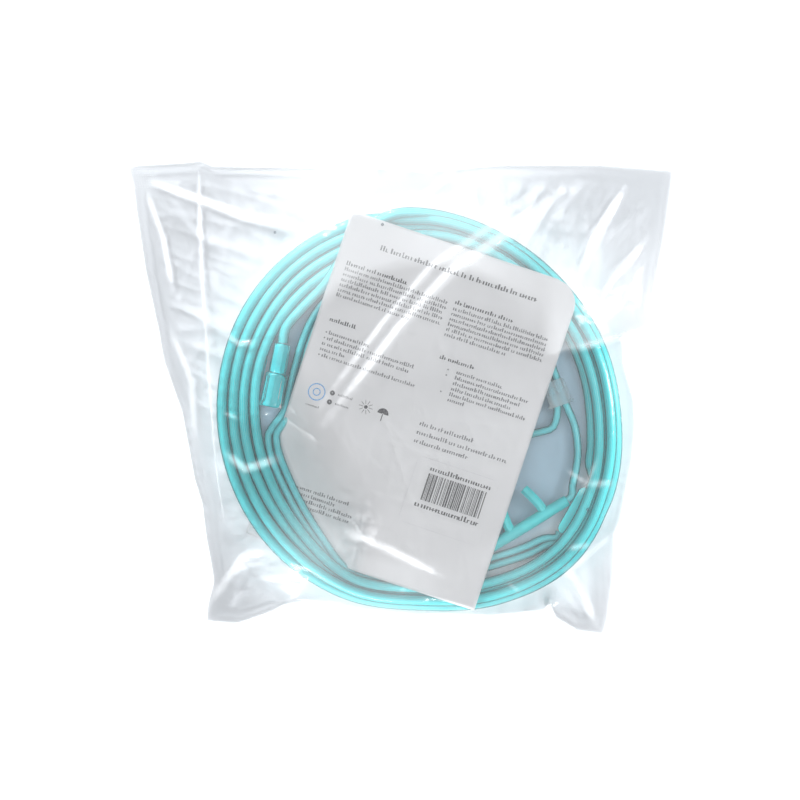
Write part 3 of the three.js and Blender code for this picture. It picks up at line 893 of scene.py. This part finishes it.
pouchLook = {
    "cells": (250, 214),
    "bottomCells": (120, 104),
    "cell": 1.0,                # mm of the height map
    "mapCorners": (-124.0, -108.0, 124.0, 108.0),
    "turns": 900,               # rounds of smoothing that stretch the film
    "rim": 0.5,
    "weld": 5.0,
    "fold": 0.51,
    "crumple": 0.20,
    "highest": 12.6,
    "lowest": 0.42,
    "bottomRest": 0.12,
    # how far from the middle line of each piece the film keeps, mm
    "room": {"tube": 0.25, "mouth": 5.3, "neck": 4.0, "bar": 2.9, "prong": 2.5, "slide": 2.4, "paper": 0.25},
    # painted highlight, milkier places on the band in place of the film's reflections: angle, half width,
    # strength
    "paintedSheenPatches": [(125.0, 26.0, 0.13), (78.0, 26.0, 0.16), (234.0, 16.0, 0.10), (262.0, 14.0, 0.07),
              (300.0, 10.0, 0.05)],
    "creaseVeil": (0.22, 1.7),  # strength, and width against the crease's own
    "flapVeil": 0.14,
    "seed": 5,
    # edges in photo order, mm: top and bottom from left to right, left and right from top to bottom
    "top": [(-119.9, 101.4), (-114.9, 102.5), (-110.1, 102.7), (-92.1, 103.8), (-88.2, 104.5), (-82.7, 102.0),
            (-11.9, 101.0), (12.1, 99.3), (35.8, 102.0), (43.7, 102.5), (86.4, 102.6), (103.8, 101.2),
            (119.6, 99.9)],
    "right": [(119.6, 99.9), (115.4, 68.8), (107.7, 30.1), (96.8, 26.6), (97.3, 16.2), (102.1, 0.5),
              (102.3, -13.8), (101.0, -26.8), (95.9, -53.4), (93.0, -60.1), (92.9, -77.7), (90.6, -96.4),
              (88.6, -103.9)],
    "bottom": [(-85.5, -98.1), (-72.5, -99.2), (-68.6, -98.1), (-56.2, -93.6), (-51.4, -90.9), (-45.3, -89.5),
               (-31.0, -89.2), (-17.9, -92.2), (6.8, -94.8), (15.5, -94.4), (40.3, -95.1), (62.7, -93.1),
               (65.0, -89.9), (67.3, -96.4), (76.4, -102.1), (88.6, -103.9)],
    "left": [(-119.9, 101.4), (-117.7, 94.3), (-116.0, 80.3), (-113.6, 64.5), (-112.3, 55.8), (-106.6, 30.1),
             (-104.3, 16.6), (-96.2, -6.2), (-90.8, -35.5), (-87.3, -46.8), (-85.8, -60.3), (-83.9, -70.3),
             (-82.3, -79.9), (-84.9, -89.7), (-85.5, -98.1)],
    # creases of the upper film: points in mm, half width, height
    "creases": [
        ([(70.3, 91.8), (47.3, 72.7), (20.8, 54.4), (-1.0, 31.4), (-33.6, -10.8)], 2.6, 0.75),
        ([(62.0, 93.5), (40.5, 75.5), (13.0, 57.0), (-8.0, 33.0), (-36.0, -4.0)], 2.0, 0.5),
        ([(107.7, 30.1), (92.1, 25.8), (74.3, 21.0)], 1.4, 1.0),
        ([(-76.6, 28.0), (-70.5, 23.6), (-64.0, 24.5)], 1.2, 0.7),
        ([(-75.8, -24.6), (-67.9, -30.8), (-54.0, -26.4)], 1.7, 0.8),
        ([(-77.1, -6.4), (-71.4, -8.6)], 0.8, 0.5),
        ([(-60.5, -78.2), (-41.8, -79.0), (-48.8, -89.4)], 1.3, 1.0),
        ([(73.0, -65.1), (82.1, -63.8)], 1.1, 0.7),
        ([(81.2, -37.3), (92.1, -36.8)], 1.4, 0.6),
        ([(72.5, -31.7), (79.9, -36.5)], 0.9, 0.6),
        ([(85.1, -26.9), (80.3, -37.7), (77.3, -41.8)], 0.8, 0.5),
        ([(0.0, -84.2), (1.7, -82.4)], 0.7, 0.4),
        ([(46.4, -80.3), (51.6, -84.2)], 0.7, 0.4),
        ([(-28.4, -55.5), (12.5, -74.7)], 2.2, 0.5),
        ([(-9.2, -63.0), (17.3, -77.3)], 1.5, 0.4),
        ([(-88.6, 100.3), (-88.0, 76.3), (-87.0, 52.3), (-85.3, 29.2), (-80.4, -32.9)], 0.9, 0.5),
        ([(25.0, 100.0), (9.0, 88.0), (-14.0, 86.0)], 1.4, 0.8),
        ([(98.0, 92.0), (84.0, 70.0), (78.0, 52.0)], 1.8, 0.9),
        ([(108.0, 70.0), (92.0, 52.0), (86.0, 40.0)], 1.3, 0.7),
        ([(-112.0, 92.0), (-104.0, 70.0), (-100.0, 48.0)], 1.5, 0.7),
        ([(-108.0, 94.0), (-70.0, 80.0), (-48.0, 76.0)], 2.2, 0.9),
        ([(-101.0, 30.0), (-92.0, 8.0), (-90.0, -20.0)], 1.4, 0.7),
        ([(-84.0, -90.0), (-70.0, -70.0), (-58.0, -66.0)], 1.8, 0.8),
        ([(86.0, -100.0), (78.0, -82.0), (72.0, -74.0)], 1.8, 0.8),
        ([(92.0, -60.0), (84.0, -66.0), (72.0, -76.0)], 1.2, 0.6),
    ],
}


def alongEdge(points, count):
    p = np.array(points, float)
    length = np.concatenate([[0], np.cumsum(np.linalg.norm(np.diff(p, axis=0), axis=1))])
    even = np.linspace(0, length[-1], count)
    return np.stack([np.interp(even, length, p[:, k]) for k in range(2)], axis=1)


# A net that fills the outline: u from left to right, v from top to bottom
def outlineNet(nu, nv):
    look = pouchLook
    top, bottom = alongEdge(look["top"], nu + 1), alongEdge(look["bottom"], nu + 1)
    left, right = alongEdge(look["left"], nv + 1), alongEdge(look["right"], nv + 1)
    u = np.linspace(0, 1, nu + 1)[None, :, None]
    v = np.linspace(0, 1, nv + 1)[:, None, None]
    corners = ((1 - u) * (1 - v) * top[0] + u * (1 - v) * top[-1]
               + (1 - u) * v * bottom[0] + u * v * bottom[-1])
    return (1 - v) * top[None] + v * bottom[None] + (1 - u) * left[:, None] + u * right[:, None] - corners


# Angle in degrees and distance in mm from the coil's centre
def fromCoil(points):
    x = points[..., 0] - coil["centre"][0]
    y = points[..., 1] - coil["centre"][1]
    return np.degrees(np.arctan2(y, x)) % 360.0, np.hypot(x, y)


# The tops of all that lies in the pouch
def heightMap():
    cell, room = pouchLook["cell"], pouchLook["room"]
    x0, y0, x1, y1 = pouchLook["mapCorners"]
    nx, ny = int((x1 - x0) / cell) + 1, int((y1 - y0) / cell) + 1
    under = np.zeros((ny, nx))

    def stamp(path, radius):
        reach = int(math.ceil(radius / cell))
        base = np.round((path[:, :2] - (x0, y0)) / cell).astype(int)
        for dj in range(-reach, reach + 1):
            for di in range(-reach, reach + 1):
                gi, gj = base[:, 0] + di, base[:, 1] + dj
                d2 = (gi * cell + x0 - path[:, 0]) ** 2 + (gj * cell + y0 - path[:, 1]) ** 2
                inside = d2 < radius * radius
                top = path[:, 2] + np.sqrt(np.clip(radius * radius - d2, 0, None))
                np.maximum.at(under, (gj[inside], gi[inside]), top[inside])

    def stampLine(piece, key, places, radius):
        stamp(np.array([along(piece, key, d, across, piece["height"]) for d, across in places]), radius)

    for path, kind in ((supplyPath, "supply"), (outerPath, "ear"), (innerPath, "ear")):
        stamp(threaded(path, 0.8)[0], tubeLook[kind]["skin"] + room["tube"])
    stick = [(d, 0) for d in np.linspace(-connector["length"] / 2, connector["length"] / 2, 60)]
    stampLine(connector, "heading", stick[:32], room["mouth"])
    stampLine(connector, "heading", stick[32:], room["neck"])
    bar = np.linspace(-nose["barLength"] / 2, nose["barLength"] / 2, 60)
    stampLine(nose, "angle", [(d, 0) for d in bar], room["bar"])
    for side in (-1, 1):
        out = np.linspace(0, nose["prongLength"] + 2.6, 24)
        stampLine(nose, "angle", [(side * 8.25 - side * 1.5 * o / 14, o) for o in out], room["prong"])
    block = [along(slide, "angle", d, w, 4.4) for d in np.linspace(-5, 5, 14) for w in np.linspace(-4, 4, 10)]
    stamp(np.array(block), room["slide"])
    xs, ys = x0 + np.arange(nx) * cell, y0 + np.arange(ny) * cell
    a = math.radians(leafletLook["turn"])
    width, tall = leafletLook["size"]
    edge = 0.6
    for j, y in enumerate(ys):
        for i, x in enumerate(xs):
            dx, dy = x - leafletLook["centre"][0], y - leafletLook["centre"][1]
            u = dx * math.cos(a) + dy * math.sin(a) + width / 2
            v = tall / 2 + dx * math.sin(a) - dy * math.cos(a)
            if -edge < u < width + edge and -edge < v < tall + edge:
                under[j, i] = max(under[j, i], leafletHeight(x, y) + room["paper"])
    return under, xs, ys


# True where a point lies inside the outline by more than the margin, and its distance from the outline
def insideOutline(xs, ys, margin):
    look = pouchLook
    ring = look["top"] + look["right"][1:] + look["bottom"][-2::-1] + look["left"][-2:0:-1]
    p = np.array(ring)
    gx, gy = np.meshgrid(xs, ys)
    inside = np.zeros(gx.shape, bool)
    near = np.full(gx.shape, 1e9)
    for (ax, ay), (bx, by) in zip(p, np.roll(p, -1, axis=0)):
        cross = ((ay > gy) != (by > gy))
        with np.errstate(divide="ignore", invalid="ignore"):
            at = (bx - ax) * (gy - ay) / (by - ay) + ax
        inside ^= cross & (gx < at)
        ex, ey = bx - ax, by - ay
        t = np.clip(((gx - ax) * ex + (gy - ay) * ey) / (ex * ex + ey * ey), 0, 1)
        near = np.minimum(near, np.hypot(gx - ax - t * ex, gy - ay - t * ey))
    return inside & (near > margin), near


def stretchFilm():
    under, xs, ys = heightMap()
    free, near = insideOutline(xs, ys, 0.9)     # a narrow rim stays flat
    rim = pouchLook["rim"]
    floor = np.where(free, np.maximum(under, rim), rim)
    height = floor.copy()
    for turn in range(pouchLook["turns"]):
        mean = (np.roll(height, 1, 0) + np.roll(height, -1, 0)
                + np.roll(height, 1, 1) + np.roll(height, -1, 1)) / 4
        height = np.where(free, np.maximum(floor, mean), rim)
    return height, floor, near, xs, ys


def sample(grid, xs, ys, points):
    fx = np.clip((points[..., 0] - xs[0]) / (xs[1] - xs[0]), 0, len(xs) - 1.001)
    fy = np.clip((points[..., 1] - ys[0]) / (ys[1] - ys[0]), 0, len(ys) - 1.001)
    i, j = fx.astype(int), fy.astype(int)
    fx, fy = fx - i, fy - j
    return ((1 - fx) * (1 - fy) * grid[j, i] + fx * (1 - fy) * grid[j, i + 1]
            + (1 - fx) * fy * grid[j + 1, i] + fx * fy * grid[j + 1, i + 1])


def creaseField(points, creases):
    field = np.zeros(points.shape[:2])
    for line, half, tall in creases:
        near = np.full(points.shape[:2], 1e9)
        place = np.zeros(points.shape[:2])
        count = len(line) - 1
        for k, (a, b) in enumerate(zip(line, line[1:])):
            e = np.array(b) - np.array(a)
            t = np.clip(((points - a) @ e) / (e @ e), 0, 1)
            d = np.linalg.norm(points - (np.array(a) + t[..., None] * e), axis=-1)
            closer = d < near
            near = np.where(closer, d, near)
            place = np.where(closer, (k + t) / count, place)
        body = np.clip(1 - near / half, 0, 1)
        fade = np.clip(np.sin(math.pi * np.clip(place, 0.04, 0.96)) * 2.2, 0, 1)
        field += tall * body * body * (3 - 2 * body) * fade
    return field


# Small folds that run in from the edges, and a soft crumple everywhere
def wrinkleField(points, near, seed):
    rng = np.random.default_rng(seed)
    x, y = points[..., 0], points[..., 1]
    angle = np.arctan2(y - coil["centre"][1], x - coil["centre"][0])
    radius = fromCoil(points)[1]
    folds = np.zeros(x.shape)
    for waves, size in ((17, 0.5), (29, 0.4), (47, 0.28), (73, 0.16)):
        turn = rng.uniform(0, 2 * math.pi)
        drift = 0.35 * np.sin(radius * rng.uniform(0.03, 0.07) + rng.uniform(0, 6))
        ridge = 1 - np.abs(np.sin(waves * 0.5 * angle + turn + drift * 2.5))
        folds += size * ridge ** 3
    folds *= np.clip((radius - 84.0) / 14.0, 0, 1) * np.clip(near / 9.0, 0, 1)
    crumple = np.zeros(x.shape)
    for k in range(16):
        direction = rng.uniform(0, math.pi)
        wave = rng.uniform(0.05, 0.26)
        turn = rng.uniform(0, 2 * math.pi)
        bend = rng.uniform(-1.5, 1.5) * np.sin(x * rng.uniform(0.01, 0.04) + y * rng.uniform(0.01, 0.04))
        ridge = 1 - np.abs(np.sin((x * math.cos(direction) + y * math.sin(direction)) * wave + turn + bend))
        crumple += ridge ** 7 * rng.uniform(0.2, 0.7)
    return folds, crumple


# Over the band the film carries painted highlight as milky patches, in place of its reflections; it is also
# milkier along its creases and over the flap folded over at the right
def hazeAndSheenField(points):
    angle, radius = fromCoil(points)
    onBand = np.clip((radius - 62.0) / 6.0, 0, 1) * np.clip((97.0 - radius) / 5.0, 0, 1)
    field = np.zeros(radius.shape)
    for middle, half, strength in pouchLook["paintedSheenPatches"]:
        # painted highlight: a milky patch on the band
        field += strength * np.exp(-((angle - middle) / half) ** 2) * onBand
    flapEdge = 21.0 + (points[..., 0] - 74.3) * 0.272
    above = points[..., 1] - flapEdge
    right = np.clip((points[..., 0] - 60.0) / 8.0, 0, 1) * np.clip(above / 1.2, 0, 1)
    field += pouchLook["flapVeil"] * right * np.clip(1.0 - above / 50.0, 0, 1)
    strength, wider = pouchLook["creaseVeil"]
    creases = [(line, half * wider, tall) for line, half, tall in pouchLook["creases"]]
    return field + strength * creaseField(points, creases)


def buildUpperFilm(height, floor, near, xs, ys):
    look = pouchLook
    net = outlineNet(*look["cells"])
    lift = sample(height, xs, ys, net)
    ground = sample(floor, xs, ys, net)
    edge = sample(near, xs, ys, net)
    inner = np.clip((edge - look["weld"]) / 6.0, 0, 1)
    folds, crumple = wrinkleField(net, edge, look["seed"])
    slack = np.clip((lift - ground) / 2.0, 0, 1) * 0.6 + 0.4
    z = lift + inner * (folds * look["fold"] + crumple * look["crumple"] * slack
                        + creaseField(net, look["creases"]))
    z = np.minimum(z, look["highest"])
    seal = (edge < look["weld"]) * 0.06 * np.sin(edge * 5.5)
    z = np.maximum(z + seal, look["lowest"])
    upper = addMesh("upperFilm", netVertices(net, z), netFaces(*look["cells"]), upperFilm)
    pointValues(upper, "hazeAndSheen", hazeAndSheenField(net))
    pointValues(upper, "marginTintAndHoleShade", np.clip((fromCoil(net)[1] - 86.0) / 8.0, 0, 1))
    return upper


def buildLowerFilm(near, xs, ys):
    look = pouchLook
    net = outlineNet(*look["bottomCells"])
    radius = fromCoil(net)[1]
    edge = sample(near, xs, ys, net)
    inner = np.clip((edge - look["weld"]) / 6.0, 0, 1)
    crumple = wrinkleField(net, edge, look["seed"] + 3)[1]
    outside = np.clip((radius - 92.0) / 8.0, 0, 1)
    z = look["bottomRest"] + inner * outside * np.minimum(0.28, 0.3 * crumple)
    lower = addMesh("lowerFilm", netVertices(net, z), netFaces(*look["bottomCells"], down=True), lowerFilm)
    # painted shade: the mask is 1 in the coil's hole, where the lower sheet turns grey-blue
    pointValues(lower, "marginTintAndHoleShade", np.clip((80.0 - radius) / 12.0, 0, 1))
    return lower


# second tints: a greyer margin for the upper sheet, painted shade in the coil's hole for the lower sheet
upperFilm = filmMaterial("upperFilmClear", 0.035, (0.985, 0.988, 0.993), 0.13, (0.925, 0.938, 0.952), True)
lowerFilm = filmMaterial("lowerFilmClear", 0.06, (0.945, 0.955, 0.967), 0.25, (0.57, 0.71, 0.79))
filmHeight, filmFloor, fromOutline, mapX, mapY = stretchFilm()
upperSheet = buildUpperFilm(filmHeight, filmFloor, fromOutline, mapX, mapY)
lowerSheet = buildLowerFilm(fromOutline, mapX, mapY)
print("film ready")


# Dots: the seal's stitched line and the pressed grid in the corner, set along curves with Geometry Nodes
dotLook = {
    "seal": [(-88.6, 100.0), (-88.0, 76.3), (-87.1, 52.3), (-85.3, 29.2), (-83.0, -3.0), (-80.4, -32.9),
             (-77.5, -52.0)],
    "sealCount": 150,
    "sealRadius": 0.26,
    "gridCorner": (-117.8, 100.6),
    "gridRows": 9,
    "gridDots": 10,
    "gridStep": 1.05,
    "gridSlant": 0.17,
    "gridRadius": 0.22,
}


def dotTree():
    tree, inputs, given = startTree("dotsAlongCurve", "Line", "Dots", {
        "count": ("Count", "Int", 100),
        "radius": ("Dot radius", "Float", 0.3 * mm),
        "finish": ("Finish", "Material", None),
    })
    spread = addNode(tree, "GeometryNodeResampleCurve", {"Curve": given["Line"], "Count": given["Count"]})
    dot = addNode(tree, "GeometryNodeMeshIcoSphere", {"Radius": given["Dot radius"], "Subdivisions": 1})
    placed = addNode(tree, "GeometryNodeInstanceOnPoints", {
        "Points": spread.outputs["Curve"], "Instance": dot.outputs["Mesh"], "Scale": (1.0, 1.0, 0.5)})
    real = addNode(tree, "GeometryNodeRealizeInstances", {"Geometry": placed.outputs["Instances"]})
    dressed = addNode(tree, "GeometryNodeSetMaterial", {
        "Geometry": real.outputs["Geometry"], "Material": given["Finish"]})
    addNode(tree, "NodeGroupOutput", {"Dots": dressed.outputs["Geometry"]})
    return tree, inputs


def onUpperFilm(points):
    film = upperSheet.data
    places = np.empty(len(film.vertices) * 3)
    film.vertices.foreach_get("co", places)
    places = places.reshape(-1, 3) / mm
    out = []
    for x, y in points:
        k = int(np.argmin((places[:, 0] - x) ** 2 + (places[:, 1] - y) ** 2))
        out.append((x, y, float(places[k, 2]) + 0.04))
    return out


def makeDots():
    look = dotLook
    tree, inputs = dotTree()
    finish = filmMaterial("pressedFilm", 0.5, (0.9, 0.93, 0.95), 0.2)

    def dotsAlong(line, name, count, radius):
        return bakeNodes(pathObject(name + "Line", onUpperFilm(line)), name, tree, {
            inputs["count"]: count, inputs["radius"]: radius * mm, inputs["finish"]: finish})

    seal, _ = threaded([(x, y, 0.0) for x, y in look["seal"]], 1.0)
    x0, y0 = look["gridCorner"]
    zigzag = []
    for row in range(look["gridRows"]):
        columns = range(look["gridDots"]) if row % 2 == 0 else reversed(range(look["gridDots"]))
        for column in columns:
            x = x0 + column * look["gridStep"] + row * look["gridSlant"]
            zigzag.append((x, y0 - row * look["gridStep"]))
    return [dotsAlong(seal[:, :2], "sealDots", look["sealCount"], look["sealRadius"]),
            dotsAlong(zigzag, "pressedDots", look["gridRows"] * look["gridDots"], look["gridRadius"])]


ventLook = {
    "places": [(-55.1, 72.4), (-8.1, 75.3), (80.9, -48.3)],
    "radius": 0.42,
    "wire": 0.14,
    "sides": 16,
    "wireSides": 6,
}


def makeVents():
    look = ventLook
    count, sides = look["sides"], look["wireSides"]
    vertices, faces = [], []
    for x, y, z in onUpperFilm(look["places"]):
        first = len(vertices)
        for i in range(count):
            for k in range(sides):
                a, b = 2 * math.pi * i / count, 2 * math.pi * k / sides
                r = look["radius"] + look["wire"] * math.cos(b)
                vertices.append(((x + r * math.cos(a)) * mm, (y + r * math.sin(a)) * mm,
                                 (z + look["wire"] * math.sin(b)) * mm))
                n, m = (i + 1) % count, (k + 1) % sides
                faces.append((first + i * sides + k, first + n * sides + k,
                              first + n * sides + m, first + i * sides + m))
    return addMesh("ventRims", vertices, faces, inkMaterial("ventShade", (0.05, 0.07, 0.09)))


dotPieces = makeDots() + [makeVents()]
print("seal and vents ready")


# What rides on what, and what each piece replaces
def join(piece, slotName, *nodes):
    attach(piece, mainBody)
    if nodes:
        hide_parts(*nodes)


join(supplyTube, "supply_tubing", "tube_coil", "supply_tube_end")
join(earOuter, "ear_tubing", "ear_tube_outer")
join(earInner, "ear_tubing", "ear_tube_inner")
join(connectorShell, "connector_vinyl", "end_connector")
join(leafletSheet, "paper", "leaflet")
for strokes in printPieces:
    join(strokes, "paper")
join(upperSheet, "film", "pouch")
join(lowerSheet, "film")
for dots in dotPieces:
    join(dots, "film")
